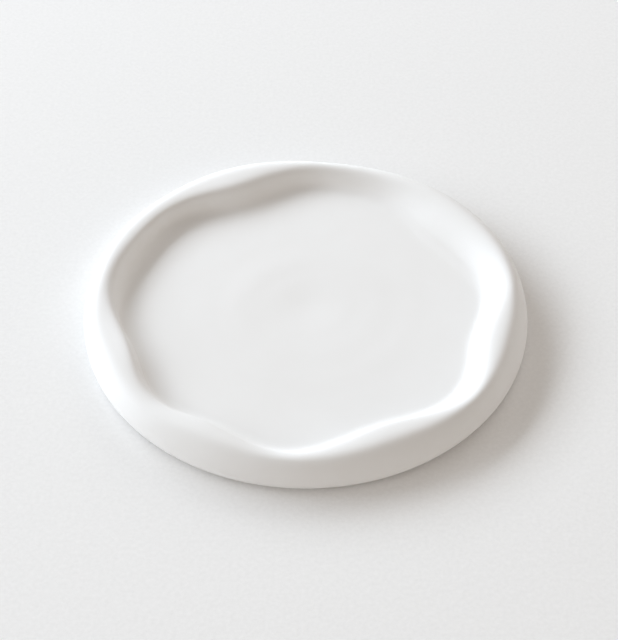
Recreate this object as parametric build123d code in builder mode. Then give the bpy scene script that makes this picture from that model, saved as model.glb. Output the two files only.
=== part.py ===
"""Candle plate: a low round ceramic plate with a hand-pinched, wandering rim, on four felt pads.

Millimetres, +Z up. The origin is on the table under the middle of the plate. The +X axis points to the
right and the +Y axis to the back of the plate as it is usually looked at.
"""

import os
from math import cos, radians, sin

from build123d import *

# Plate: the round base and the flat floor
base_radius = 70.0  # the edge of the base, which the wall swells a little beyond
edge_height = 0.6  # the base edge, above the underside
edge_undercut = 1.6  # the underside ends this far inside the base edge
floor_thickness = 3.6  # top of the candle floor above the underside

# Underside: a shallow recess inside a foot ring
foot_ring_width = 12.8
recess_depth = 0.8
recess_fillet = 0.4

# Rim section, the same all round
shoulder_drop = 1.3  # the outer shoulder lies this far below the crest
brow_drop = 0.85  # the brow, where the inner wall turns down, lies this far below the crest
wall_foot_run = 0.4  # the inner wall's foot lies this far outside the toe
toe_rise = 0.42
toe_run = 0.9
floor_run = 4.4  # from the toe inwards to where the floor is flat
ring_count = 30  # rings the rim's surface is drawn through, from the underside to the floor

# Places round the rim, each as the potter's fingers left it, by the angle counter-clockwise from +X: the
# insets of shoulder, crest, brow and toe from the base edge, and the rise of the crest and of the inner
# wall's foot above the floor
rim_places = {
    4: (1.5, 4.0, 7.2, 12.0, 5.5, 1.2),
    17: (0.8, 3.7, 6.6, 13.8, 5.2, 0.7),
    40: (1.6, 6.4, 9.0, 17.2, 5.3, 0.6),
    60: (2.4, 6.4, 8.6, 13.4, 4.9, 0.9),
    78: (3.8, 7.0, 9.0, 12.4, 4.8, 1.2),
    90: (4.2, 7.3, 9.6, 12.6, 5.3, 1.3),
    116: (3.8, 9.2, 13.8, 17.8, 6.4, 1.3),
    133: (2.8, 7.3, 10.0, 12.4, 5.8, 1.3),
    155: (1.8, 5.9, 8.4, 10.8, 5.9, 1.3),
    177: (1.6, 5.0, 7.7, 10.6, 5.7, 1.3),
    190: (1.8, 6.4, 10.5, 11.8, 5.0, 1.0),
    203: (2.3, 7.7, 11.4, 13.4, 5.4, 1.0),
    214: (2.0, 5.9, 9.0, 11.8, 5.4, 1.1),
    224: (1.8, 5.1, 8.2, 10.8, 5.4, 1.3),
    240: (3.0, 7.7, 10.6, 13.4, 6.1, 1.3),
    264: (2.0, 4.8, 7.2, 10.4, 5.3, 1.3),
    294: (3.5, 9.3, 12.6, 15.6, 6.1, 1.3),
    321: (1.6, 3.9, 6.6, 10.6, 5.4, 1.3),
    346: (2.8, 7.7, 11.0, 14.8, 5.9, 1.3),
}

# Felt pads and the adhesive film that holds them in the recess
pad_count = 4
pad_radius = 7.0
pad_thickness = 1.2
pad_edge_round = 0.25
pad_inset = 26.0  # pad centres, inside the base edge
first_pad_angle = 45.0
adhesive_thickness = 0.15
adhesive_margin = 0.5  # the film ends this far inside the pad

# Heights above the table
pad_top = pad_thickness
recess_top = pad_top + adhesive_thickness
underside = recess_top - recess_depth
floor_top = underside + floor_thickness


def rim_section(shoulder_inset, crest_inset, brow_inset, toe_inset, crest_rise, foot_rise):
    """The rim's section at one place, from the underside over the crest to the floor: (radius, height)."""
    crest_top = floor_top + crest_rise
    return [
        (base_radius - edge_undercut, underside),
        (base_radius, underside + edge_height),
        (base_radius - shoulder_inset, crest_top - shoulder_drop),
        (base_radius - crest_inset, crest_top),
        (base_radius - brow_inset, crest_top - brow_drop),
        (base_radius - toe_inset + wall_foot_run, floor_top + foot_rise),
        (base_radius - toe_inset - toe_run, floor_top + toe_rise),
        (base_radius - toe_inset - floor_run, floor_top),
    ]


def turned(angle, radius, height):
    """A point of the section, turned about the plate's axis."""
    return (radius * cos(radians(angle)), radius * sin(radians(angle)), height)


# Rings at even steps along the sections, each closed round the plate and paced by the angle
sections = []
for angle, sizes in rim_places.items():
    points = [turned(angle, *point) for point in rim_section(*sizes)]
    with BuildLine() as section:
        Spline(*points, tangents=[turned(angle, 0.7, 0.7), turned(angle, -1, 0)], tangent_scalars=[1, 1])
    sections.append(section.edge())
pace = list(rim_places)
pace.append(pace[0] + 360)
rings = []
for step in range(ring_count):
    ring_points = [section @ (step / (ring_count - 1)) for section in sections]
    with BuildLine() as ring:
        add(Edge.make_spline(ring_points, periodic=True, parameters=pace))
    rings.append(ring.wire())

# The fired plate: base, rim and floor are one casting
with BuildPart() as plate_body:
    add(Solid.make_loft(rings))
    with BuildSketch(Plane.XY.offset(underside)):
        Circle(base_radius - edge_undercut - foot_ring_width)
    extrude(amount=recess_depth, mode=Mode.SUBTRACT)
    recess_roof = plate_body.faces().filter_by(Plane.XY).sort_by(Axis.Z)[1]
    fillet(recess_roof.edges(), radius=recess_fillet)

# Pads and their films, each pair under the plate on one circle
pad_places = PolarLocations(base_radius - pad_inset, pad_count, start_angle=first_pad_angle).locations
pads = []
films = []
for place in pad_places:
    with BuildPart() as foot_pad:
        with BuildSketch():
            with Locations(place.position):
                Circle(pad_radius)
        extrude(amount=pad_thickness)
        fillet(foot_pad.edges().group_by(Axis.Z)[0], radius=pad_edge_round)
    pads.append(foot_pad.part)

    with BuildPart() as pad_adhesive:
        with BuildSketch(Plane.XY.offset(pad_top)):
            with Locations(place.position):
                Circle(pad_radius - adhesive_margin)
        extrude(amount=adhesive_thickness)
    films.append(pad_adhesive.part)

os.makedirs("parts", exist_ok=True)
plate_body.part.label = "plate_body"
export_step(plate_body.part, "parts/plate_body.step")
for number, (pad, film) in enumerate(zip(pads, films), start=1):
    pad.label = f"foot_pad_{number}"
    film.label = f"pad_adhesive_{number}"
    export_step(pad, f"parts/{pad.label}.step")
    export_step(film, f"parts/{film.label}.step")
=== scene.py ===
"""Candle plate: the matte ceramic plate, its felt pads and the table it stands on."""

import math

import bpy
import numpy as np
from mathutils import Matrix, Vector, noise


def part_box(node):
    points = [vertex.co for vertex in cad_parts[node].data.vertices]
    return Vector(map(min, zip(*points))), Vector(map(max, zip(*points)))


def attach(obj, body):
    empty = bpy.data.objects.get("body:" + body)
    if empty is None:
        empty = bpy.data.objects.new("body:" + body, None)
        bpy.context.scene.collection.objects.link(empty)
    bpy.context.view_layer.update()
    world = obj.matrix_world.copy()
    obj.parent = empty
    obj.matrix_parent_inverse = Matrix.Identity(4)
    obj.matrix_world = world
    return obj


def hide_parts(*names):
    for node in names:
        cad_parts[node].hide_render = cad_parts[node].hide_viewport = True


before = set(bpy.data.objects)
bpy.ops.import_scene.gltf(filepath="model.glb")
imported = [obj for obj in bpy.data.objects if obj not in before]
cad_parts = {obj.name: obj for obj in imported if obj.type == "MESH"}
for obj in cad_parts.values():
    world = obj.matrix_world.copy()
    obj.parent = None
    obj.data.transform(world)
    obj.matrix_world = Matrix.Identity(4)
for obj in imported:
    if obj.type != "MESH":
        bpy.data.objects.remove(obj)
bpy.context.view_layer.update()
scene = bpy.context.scene
MM = 0.001

# Sizes of the plate, in millimetres, as in the CAD source
BASE_R = 70.0
EDGE_H, EDGE_UNDERCUT = 0.6, 1.6
FLOOR_T = 3.6
FOOT_RING, RECESS, RECESS_FILLET = 12.8, 0.8, 0.4
UNDERSIDE = 0.55
FLOOR_TOP = UNDERSIDE + FLOOR_T
RECESS_R = BASE_R - EDGE_UNDERCUT - FOOT_RING
SHOULDER_DROP, BROW_DROP = 1.3, 0.85
WALL_FOOT_RUN, TOE_RUN, FLOOR_RUN = 0.4, 0.9, 4.4
TOE_RISE = 0.42

# Places round the rim: angle, insets of shoulder, crest, brow and toe, and the rise of the crest and of the
# inner wall's foot above the floor
RIM_PLACES = [
    (4, 1.5, 4.0, 7.2, 12.0, 5.5, 1.2),
    (17, 0.8, 3.7, 6.6, 13.8, 5.2, 0.7),
    (40, 1.6, 6.4, 9.0, 17.2, 5.3, 0.6),
    (60, 2.4, 6.4, 8.6, 13.4, 4.9, 0.9),
    (78, 3.8, 7.0, 9.0, 12.4, 4.8, 1.2),
    (90, 4.2, 7.3, 9.6, 12.6, 5.3, 1.3),
    (116, 3.8, 9.2, 13.8, 17.8, 6.4, 1.3),
    (133, 2.8, 7.3, 10.0, 12.4, 5.8, 1.3),
    (155, 1.8, 5.9, 8.4, 10.8, 5.9, 1.3),
    (177, 1.6, 5.0, 7.7, 10.6, 5.7, 1.3),
    (190, 1.8, 6.4, 10.5, 11.8, 5.0, 1.0),
    (203, 2.3, 7.7, 11.4, 13.4, 5.4, 1.0),
    (214, 2.0, 5.9, 9.0, 11.8, 5.4, 1.1),
    (224, 1.8, 5.1, 8.2, 10.8, 5.4, 1.3),
    (240, 3.0, 7.7, 10.6, 13.4, 6.1, 1.3),
    (264, 2.0, 4.8, 7.2, 10.4, 5.3, 1.3),
    (294, 3.5, 9.3, 12.6, 15.6, 6.1, 1.3),
    (321, 1.6, 3.9, 6.6, 10.6, 5.4, 1.3),
    (346, 2.8, 7.7, 11.0, 14.8, 5.9, 1.3),
]

# Mesh rows between the section's points, from the underside over the crest to the floor
SECTION_STEPS = (8, 20, 18, 14, 26, 14, 8)

# Mesh points round the plate and round a pad, and mesh rows across the recess, its fillet, the foot ring and
# the floor
PLATE_AROUND, PAD_AROUND = 720, 160
RECESS_ROWS, FILLET_ROWS, FOOT_ROWS, FLOOR_ROWS = 14, 5, 8, 76

# The dimple in the middle of the floor: its place, depth and width
DIMPLE_X, DIMPLE_Y, DIMPLE_DEPTH, DIMPLE_WIDTH = 0.8, 1.6, 0.26, 7.2

# Throwing rings on the floor: radius, height, width and the direction in which each is highest
FLOOR_RINGS = [
    (12.5, 0.03, 2.4, 0.4),
    (21.5, 0.13, 5.6, 2.2),
    (33.0, 0.06, 4.0, 5.3),
]

# The small fold in the inner wall at the left: from and to which angle it runs, the angle over which its ends
# fade, and its ridge and the crease below, each with its place and width as shares of the wall from the brow
# down to the wall's foot, and how far it stands out in millimetres
FOLD_FROM, FOLD_TO, FOLD_FADE = 184.0, 220.0, 14.0
FOLD_MARKS = [(0.6, 0.17, 0.75), (0.97, 0.14, -0.2)]

# The hand's swells on the rim: their mean depth and how far the slow and the quick ones depart from it, the
# height over which they fade in, and how far they sink for each millimetre inwards
SWELL_DEPTH, SWELL_SLOW, SWELL_QUICK = 0.09, 0.035, 0.02
SWELL_FADE, SWELL_SINK = 1.2, 0.6

# A pad's section as shares of its radius and thickness, from the middle of its underside to that of its top
PAD_SECTION = [
    (0.35, 0.0), (0.7, 0.0), (0.88, 0.0), (0.955, 0.02), (0.985, 0.1), (0.998, 0.28),
    (1.0, 0.5), (0.998, 0.75), (0.985, 0.94), (0.95, 1.0), (0.7, 1.0), (0.35, 1.0),
]


def spline_bends(gaps, values, ends=None):
    """Second derivatives of a cubic spline at its knots, closed, or open with given end slopes."""
    n = len(values)
    left = np.zeros((n, n))
    right = np.zeros_like(values)
    for i in range(n):
        before, after = gaps[i - 1], gaps[i % len(gaps)]
        if ends is not None and i == 0:
            left[i, i], left[i, i + 1] = 2 * after, after
            right[i] = 6 * ((values[i + 1] - values[i]) / after - ends[0])
        elif ends is not None and i == n - 1:
            left[i, i], left[i, i - 1] = 2 * before, before
            right[i] = 6 * (ends[1] - (values[i] - values[i - 1]) / before)
        else:
            left[i, i - 1] += before
            left[i, i] += 2 * (before + after)
            left[i, (i + 1) % n] += after
            right[i] = 6 * ((values[(i + 1) % n] - values[i]) / after - (values[i] - values[i - 1]) / before)
    return np.linalg.solve(left, right.reshape(n, -1)).reshape(values.shape)


def spline_point(a, b, bend_a, bend_b, gap, t):
    """A point of one spline span, t from 0 to 1."""
    u = 1 - t
    return a * u + b * t + gap * gap / 6 * ((u**3 - u) * bend_a + (t**3 - t) * bend_b)


def round_spline(angles, values, at):
    """A closed cubic spline through values at angles, read at other angles, all in degrees."""
    values = np.asarray(values, float)
    gaps = np.diff(np.append(angles, angles[0] + 360))
    bends = spline_bends(gaps, values)
    out = []
    for angle in at:
        angle = (angle - angles[0]) % 360 + angles[0]
        k = int(np.searchsorted(angles, angle, side="right")) - 1
        j = (k + 1) % len(angles)
        t = (angle - angles[k]) / gaps[k]
        out.append(spline_point(values[k], values[j], bends[k], bends[j], gaps[k], t))
    return np.array(out)


def rim_levels(angles):
    """The rim's section points at each angle: level by angle by (radius, height), in millimetres."""
    table = np.array(RIM_PLACES, float)
    sizes = round_spline(table[:, 0], table[:, 1:], angles)
    shoulder, crest, brow, toe, rise, foot = sizes.T
    top = FLOOR_TOP + rise
    flat = np.zeros_like(toe)
    return np.stack([
        np.stack([BASE_R - EDGE_UNDERCUT + flat, UNDERSIDE + flat], -1),
        np.stack([BASE_R + flat, UNDERSIDE + EDGE_H + flat], -1),
        np.stack([BASE_R - shoulder, top - SHOULDER_DROP], -1),
        np.stack([BASE_R - crest, top], -1),
        np.stack([BASE_R - brow, top - BROW_DROP], -1),
        np.stack([BASE_R - toe + WALL_FOOT_RUN, FLOOR_TOP + foot], -1),
        np.stack([BASE_R - toe - TOE_RUN, FLOOR_TOP + TOE_RISE + flat], -1),
        np.stack([BASE_R - toe - FLOOR_RUN, FLOOR_TOP + flat], -1),
    ])


def rim_sections(angles, steps):
    """Smooth sections from the underside over the crest to the floor: point by angle by (radius, height)."""
    levels = rim_levels(angles)
    gaps = np.linalg.norm(np.diff(levels, axis=0), axis=-1)
    ends = (np.array([0.7, 0.7]), np.array([-1.0, 0.0]))
    bends = np.stack([spline_bends(gaps[:, i], levels[:, i], ends) for i in range(len(angles))], axis=1)
    rows = []
    for k, count in enumerate(steps):
        for t in np.arange(count) / count:
            rows.append(spline_point(levels[k], levels[k + 1], bends[k], bends[k + 1], gaps[k][:, None], t))
    rows.append(levels[-1])
    rows = np.array(rows)
    floor_side = sum(steps[:5])
    rows[floor_side:, :, 1] = np.maximum(rows[floor_side:, :, 1], FLOOR_TOP)
    return rows


def floor_relief(x, y):
    """Height of the throwing marks on the floor, in millimetres: a dimple and faint uneven rings."""
    r = np.hypot(x - DIMPLE_X, y - DIMPLE_Y)
    a = np.arctan2(y, x)
    wander = 0.9 * np.sin(2 * a + 0.6) + 0.5 * np.sin(3 * a - 1.1)
    relief = -DIMPLE_DEPTH * np.exp(-((r / DIMPLE_WIDTH) ** 2))
    for radius, height, width, turn in FLOOR_RINGS:
        uneven = 0.75 + 0.25 * np.cos(a - turn)
        relief = relief + height * np.exp(-(((r - radius - wander) / width) ** 2)) * uneven
    return relief


def fold_push(angle, share):
    """How far the fold stands out of the inner wall, at a share of the wall below the brow."""
    fade = min((angle - FOLD_FROM) / FOLD_FADE, (FOLD_TO - angle) / FOLD_FADE, 1.0)
    if fade <= 0.0:
        return 0.0
    marks = sum(depth * math.exp(-(((share - place) / width) ** 2)) for place, width, depth in FOLD_MARKS)
    return fade * fade * (3 - 2 * fade) * marks


def closed_grid(name, rows, cap_start, cap_end):
    """A closed mesh from rings of points (row by place by xyz, metres), with a middle point at each end."""
    count, around = rows.shape[:2]
    verts = rows.reshape(-1, 3)
    faces = []
    for k in range(count - 1):
        for i in range(around):
            j = (i + 1) % around
            faces.append((k * around + i, k * around + j, (k + 1) * around + j, (k + 1) * around + i))
    first, last = len(verts), len(verts) + 1
    verts = np.vstack([verts, [cap_start], [cap_end]])
    for i in range(around):
        j = (i + 1) % around
        faces.append((first, j, i))
        faces.append(((count - 1) * around + i, (count - 1) * around + j, last))
    mesh = bpy.data.meshes.new(name)
    mesh.from_pydata(verts.tolist(), [], faces)
    mesh.polygons.foreach_set("use_smooth", [True] * len(mesh.polygons))
    mesh.update()
    obj = bpy.data.objects.new(name, mesh)
    scene.collection.objects.link(obj)
    return obj


def build_plate():
    """The fired plate as one closed skin: recess, foot ring, outer wall, rim, inner wall and floor."""
    angles = np.arange(PLATE_AROUND) * 360.0 / PLATE_AROUND
    turn = np.radians(angles)
    flat = np.zeros(PLATE_AROUND)

    def ring(radius, height):
        return np.stack([radius + flat, height + flat], -1)

    rows = [ring(r, UNDERSIDE + RECESS) for r in np.linspace(6, RECESS_R - RECESS_FILLET, RECESS_ROWS)]
    for bend in np.linspace(0, math.pi / 2, FILLET_ROWS)[1:]:
        rows.append(ring(
            RECESS_R - RECESS_FILLET + RECESS_FILLET * math.sin(bend),
            UNDERSIDE + RECESS - RECESS_FILLET + RECESS_FILLET * math.cos(bend),
        ))
    rows.append(ring(RECESS_R, UNDERSIDE + 0.05))
    rows.append(ring(RECESS_R + 0.05, UNDERSIDE))
    foot_edge = BASE_R - EDGE_UNDERCUT
    rows += [ring(r, UNDERSIDE) for r in np.linspace(RECESS_R + 0.4, foot_edge - 0.6, FOOT_ROWS)]
    first_row, crest_row = len(rows), len(rows) + sum(SECTION_STEPS[:3])
    brow_row = crest_row + SECTION_STEPS[3]
    section = rim_sections(angles, SECTION_STEPS)
    rows += list(section)
    inner = section[-1][:, 0]
    for share in np.linspace(1, 0.02, FLOOR_ROWS)[1:]:
        rows.append(np.stack([inner * share, FLOOR_TOP + flat], -1))
    rows = np.array(rows)

    points = np.stack([rows[..., 0] * np.cos(turn), rows[..., 0] * np.sin(turn), rows[..., 1]], -1)
    top_side = points[..., 2] > UNDERSIDE + RECESS + 0.2
    low_side = points[..., 2] < FLOOR_TOP + 0.6
    inside = np.clip((inner[None, :] + 2.0 - rows[..., 0]) / 6.0, 0, 1) * top_side * low_side
    points[..., 2] += inside * floor_relief(points[..., 0], points[..., 1])

    # The hand's swells on the rim, pressed inwards only, and the fold in the inner wall
    for row in range(first_row, first_row + len(section)):
        still = UNDERSIDE + 0.3 if row < crest_row else FLOOR_TOP
        for i in range(PLATE_AROUND):
            x, y, z = points[row, i]
            fade = min(max((z - still) / SWELL_FADE, 0.0), 1.0)
            slow = noise.noise(Vector((x * 0.11, y * 0.11, z * 0.16)))
            quick = noise.noise(Vector((x * 0.31, y * 0.31, z * 0.4 + 7)))
            depth = fade * (SWELL_DEPTH + SWELL_SLOW * slow + SWELL_QUICK * quick)
            points[row, i, 0] -= depth * math.cos(turn[i])
            points[row, i, 1] -= depth * math.sin(turn[i])
            points[row, i, 2] -= depth * SWELL_SINK
            if row > brow_row:
                push = fold_push(angles[i], (row - brow_row) / SECTION_STEPS[4])
                points[row, i, 0] -= push * math.cos(turn[i])
                points[row, i, 1] -= push * math.sin(turn[i])

    middle_low = (0.0, 0.0, (UNDERSIDE + RECESS) * MM)
    middle_top = (0.0, 0.0, (FLOOR_TOP + float(floor_relief(0.0, 0.0))) * MM)
    return closed_grid("plate_ceramic", points * MM, middle_low, middle_top)


def build_pad(number, node):
    """One felt pad in its CAD node's place: a pressed disc with a soft, slightly frayed edge."""
    low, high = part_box(node)
    cx, cy = (low.x + high.x) / 2, (low.y + high.y) / 2
    radius, thick = (high.x - low.x) / 2, high.z - low.z
    turn = np.arange(PAD_AROUND) * 2 * math.pi / PAD_AROUND
    rows = []
    for share, height in PAD_SECTION:
        row = []
        for t in turn:
            x, y = math.cos(t), math.sin(t)
            fray = 0.0
            if share > 0.9:
                fray = 0.012 * (noise.noise(Vector((x * 9, y * 9, height * 4 + number * 3))) - 0.6)
            lump = 0.03 * (noise.noise(Vector((x * share * 12, y * share * 12, number * 5 + 1))) + 0.5)
            z = height * thick
            if 0.0 < height < 1.0:
                z += thick * lump * 0.5
            elif height == 0.0:
                z += thick * max(0.0, lump) * 0.6
            out = radius * (share + fray)
            row.append((cx + out * x, cy + out * y, low.z + min(max(z, 0.0), thick)))
        rows.append(row)
    return closed_grid(f"felt_pad_{number}", np.array(rows), (cx, cy, low.z), (cx, cy, high.z))


def new_material(name):
    material = bpy.data.materials.new(name)
    material.use_nodes = True
    tree = material.node_tree
    return material, tree, tree.nodes["Principled BSDF"]


def add_node(tree, kind, **values):
    node = tree.nodes.new(kind)
    for key, value in values.items():
        if key in node.inputs.keys():
            node.inputs[key].default_value = value
        else:
            setattr(node, key, value)
    return node


def noise_node(tree, coords, scale, detail=4.0, roughness=0.55):
    node = add_node(tree, "ShaderNodeTexNoise", Scale=scale, Detail=detail, Roughness=roughness)
    tree.links.new(coords, node.inputs["Vector"])
    return node.outputs["Fac"]


def ramp_node(tree, factor, stops):
    node = tree.nodes.new("ShaderNodeValToRGB")
    ramp = node.color_ramp
    while len(ramp.elements) < len(stops):
        ramp.elements.new(0.5)
    for element, (place, colour) in zip(ramp.elements, stops):
        element.position = place
        element.color = (*colour, 1.0)
    tree.links.new(factor, node.inputs["Fac"])
    return node.outputs["Color"]


def range_node(tree, value, low, high):
    node = add_node(tree, "ShaderNodeMapRange")
    node.inputs["To Min"].default_value = low
    node.inputs["To Max"].default_value = high
    tree.links.new(value, node.inputs["Value"])
    return node.outputs["Result"]


def bump_node(tree, height, strength, distance, before=None):
    node = add_node(tree, "ShaderNodeBump", Strength=strength, Distance=distance)
    tree.links.new(height, node.inputs["Height"])
    if before is not None:
        tree.links.new(before, node.inputs["Normal"])
    return node.outputs["Normal"]


def ceramic_material():
    """Matte white glaze: fine grain, faint cloudy tone and slow changes of roughness."""
    material, tree, shader = new_material("matte_white_ceramic")
    coords = tree.nodes.new("ShaderNodeTexCoord").outputs["Object"]
    clouds = noise_node(tree, coords, 38.0, detail=5.0)
    colour = ramp_node(tree, clouds, [(0.3, (0.859, 0.856, 0.849)), (0.7, (0.879, 0.878, 0.874))])
    tree.links.new(colour, shader.inputs["Base Color"])
    grain = noise_node(tree, coords, 1500.0, detail=6.0, roughness=0.65)
    swell = noise_node(tree, coords, 160.0, detail=3.0)
    tree.links.new(range_node(tree, swell, 0.62, 0.8), shader.inputs["Roughness"])
    first = bump_node(tree, swell, 0.25, 0.0001)
    tree.links.new(bump_node(tree, grain, 0.22, 0.00006, first), shader.inputs["Normal"])
    shader.inputs["Specular IOR Level"].default_value = 0.3
    return material


def bisque_material():
    """The unglazed underside: bare fired clay, a little warmer and rougher, with fine grog."""
    material, tree, shader = new_material("bare_fired_clay")
    coords = tree.nodes.new("ShaderNodeTexCoord").outputs["Object"]
    clouds = noise_node(tree, coords, 60.0, detail=6.0)
    colour = ramp_node(tree, clouds, [(0.3, (0.66, 0.62, 0.56)), (0.7, (0.74, 0.71, 0.66))])
    tree.links.new(colour, shader.inputs["Base Color"])
    grog = noise_node(tree, coords, 1100.0, detail=8.0, roughness=0.75)
    tree.links.new(range_node(tree, grog, 0.8, 0.95), shader.inputs["Roughness"])
    tree.links.new(bump_node(tree, grog, 0.5, 0.00012), shader.inputs["Normal"])
    shader.inputs["Specular IOR Level"].default_value = 0.2
    return material


def felt_material():
    """Pressed wool felt: matted fibres in several greys."""
    material, tree, shader = new_material("wool_felt")
    coords = tree.nodes.new("ShaderNodeTexCoord").outputs["Object"]
    stretch = add_node(tree, "ShaderNodeMapping")
    stretch.inputs["Scale"].default_value = (1.0, 3.2, 2.0)
    stretch.inputs["Rotation"].default_value = (0.0, 0.0, 0.6)
    tree.links.new(coords, stretch.inputs["Vector"])
    fibres = noise_node(tree, stretch.outputs["Vector"], 900.0, detail=8.0, roughness=0.7)
    mats = noise_node(tree, coords, 420.0, detail=5.0)
    greys = [(0.32, (0.36, 0.345, 0.32)), (0.5, (0.53, 0.51, 0.48)), (0.7, (0.66, 0.64, 0.61))]
    colour = ramp_node(tree, fibres, greys)
    tree.links.new(colour, shader.inputs["Base Color"])
    tree.links.new(range_node(tree, mats, 0.88, 1.0), shader.inputs["Roughness"])
    first = bump_node(tree, mats, 0.5, 0.0002)
    tree.links.new(bump_node(tree, fibres, 0.6, 0.00015, first), shader.inputs["Normal"])
    shader.inputs["Specular IOR Level"].default_value = 0.1
    shader.inputs["Sheen Weight"].default_value = 0.3
    return material


def film_material():
    """The pads' adhesive film: milky, with small bubbles."""
    material, tree, shader = new_material("milky_film")
    coords = tree.nodes.new("ShaderNodeTexCoord").outputs["Object"]
    cells = add_node(tree, "ShaderNodeTexVoronoi", Scale=700.0)
    tree.links.new(coords, cells.inputs["Vector"])
    colour = ramp_node(tree, cells.outputs["Distance"], [(0.05, (0.7, 0.67, 0.58)), (0.4, (0.8, 0.78, 0.7))])
    tree.links.new(colour, shader.inputs["Base Color"])
    tree.links.new(range_node(tree, cells.outputs["Distance"], 0.3, 0.5), shader.inputs["Roughness"])
    tree.links.new(bump_node(tree, cells.outputs["Distance"], 0.2, 0.00003), shader.inputs["Normal"])
    return material


def table_material():
    """Plain pale table top with the tooth of coated paper."""
    material, tree, shader = new_material("pale_table")
    coords = tree.nodes.new("ShaderNodeTexCoord").outputs["Object"]
    tooth = noise_node(tree, coords, 820.0, detail=3.0, roughness=0.6)
    weave = noise_node(tree, coords, 210.0, detail=2.0)
    colour = ramp_node(tree, tooth, [(0.3, (0.866, 0.865, 0.862)), (0.7, (0.915, 0.914, 0.911))])
    tree.links.new(colour, shader.inputs["Base Color"])
    first = bump_node(tree, weave, 0.5, 0.00008)
    tree.links.new(bump_node(tree, tooth, 0.5, 0.00008, first), shader.inputs["Normal"])
    shader.inputs["Roughness"].default_value = 0.9
    shader.inputs["Specular IOR Level"].default_value = 0.15
    return material


# The plate, bare clay inside the foot's edge and glazed elsewhere
plate = build_plate()
plate.data.materials.append(ceramic_material())
plate.data.materials.append(bisque_material())
clay_height = (UNDERSIDE + RECESS + 0.02) * MM
clay_radius = (BASE_R - EDGE_UNDERCUT - 0.3) * MM
for polygon in plate.data.polygons:
    centre = polygon.center
    if centre.z < clay_height and polygon.normal.z < 0.4 and math.hypot(centre.x, centre.y) < clay_radius:
        polygon.material_index = 1
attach(plate, "root")
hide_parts("plate_body")

# The felt pads, and the films that hold them
felt = felt_material()
film = film_material()
for number in range(1, 5):
    pad = build_pad(number, f"foot_pad_{number}")
    pad.data.materials.append(felt)
    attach(pad, "root")
    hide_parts(f"foot_pad_{number}")
    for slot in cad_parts[f"pad_adhesive_{number}"].material_slots:
        slot.material = film

# The table it stands on
table_mesh = bpy.data.meshes.new("table_top")
half = 2.5
corners = [(-half, -half, 0), (half, -half, 0), (half, half, 0), (-half, half, 0)]
table_mesh.from_pydata(corners, [], [(0, 1, 2, 3)])
table = bpy.data.objects.new("table_top", table_mesh)
scene.collection.objects.link(table)
table_mesh.materials.append(table_material())


def add_panel(name, azimuth, elevation, distance, width, height, power, colour):
    """A soft rectangular lamp that looks at the plate."""
    lamp = bpy.data.lights.new(name, "AREA")
    lamp.shape = "RECTANGLE"
    lamp.size, lamp.size_y = width, height
    lamp.energy = power
    lamp.color = colour
    a, e = math.radians(azimuth), math.radians(elevation)
    out = Vector((math.cos(a) * math.cos(e), math.sin(a) * math.cos(e), math.sin(e)))
    obj = bpy.data.objects.new(name, lamp)
    obj.location = out * distance
    obj.rotation_euler = out.to_track_quat("Z", "Y").to_euler()
    scene.collection.objects.link(obj)


# Soft daylight from a low, wide window at the back left, with weak fills
add_panel("window", 144, 24, 2.6, 3.1, 0.82, 88.5, (0.915, 1.0, 1.085))
add_panel("left_fill", 195, 19, 2.4, 0.9, 0.7, 10.2, (0.96, 1.0, 1.04))
add_panel("back_fill", 66, 25, 2.4, 1.2, 0.9, 9.3, (1.0, 1.0, 1.0))
add_panel("front_fill", 312, 20, 2.0, 1.8, 0.8, 4.7, (1.1, 1.0, 0.9))

# The room's soft warm light, and the pale backdrop that is seen where the table ends
world = bpy.data.worlds.new("room")
scene.world = world
world.use_nodes = True
sky = world.node_tree
room_light = sky.nodes["Background"]
room_light.inputs["Color"].default_value = (1.0, 0.91, 0.825, 1.0)
room_light.inputs["Strength"].default_value = 0.37
backdrop = add_node(sky, "ShaderNodeBackground", Color=(0.9, 0.9, 0.9, 1.0), Strength=1.0)
path = sky.nodes.new("ShaderNodeLightPath")
mirrored = add_node(sky, "ShaderNodeMath", operation="MAXIMUM")
sky.links.new(path.outputs["Is Glossy Ray"], mirrored.inputs[0])
sky.links.new(path.outputs["Is Transmission Ray"], mirrored.inputs[1])
seen = add_node(sky, "ShaderNodeMath", operation="MAXIMUM")
sky.links.new(path.outputs["Is Camera Ray"], seen.inputs[0])
sky.links.new(mirrored.outputs[0], seen.inputs[1])
mix = sky.nodes.new("ShaderNodeMixShader")
sky.links.new(seen.outputs[0], mix.inputs[0])
sky.links.new(room_light.outputs[0], mix.inputs[1])
sky.links.new(backdrop.outputs[0], mix.inputs[2])
sky.links.new(mix.outputs[0], sky.nodes["World Output"].inputs["Surface"])

# The camera at the photograph's viewing angle, looking at a point near the middle of the floor
camera_target = Vector((1.02 * MM, -2.2 * MM, 0.9 * MM))
camera_distance = 560 * MM
tilt = math.radians(47.0)
camera_data = bpy.data.cameras.new("camera")
camera_data.sensor_fit = "VERTICAL"
camera_data.sensor_height = 36.0
camera_data.lens = 98.2
camera = bpy.data.objects.new("camera", camera_data)
forward = Vector((0.0, math.cos(tilt), -math.sin(tilt)))
camera.location = camera_target - forward * camera_distance
camera.rotation_euler = (math.pi / 2 - tilt, 0.0, 0.0)
scene.collection.objects.link(camera)
scene.camera = camera
scene.view_settings.view_transform = "Standard"
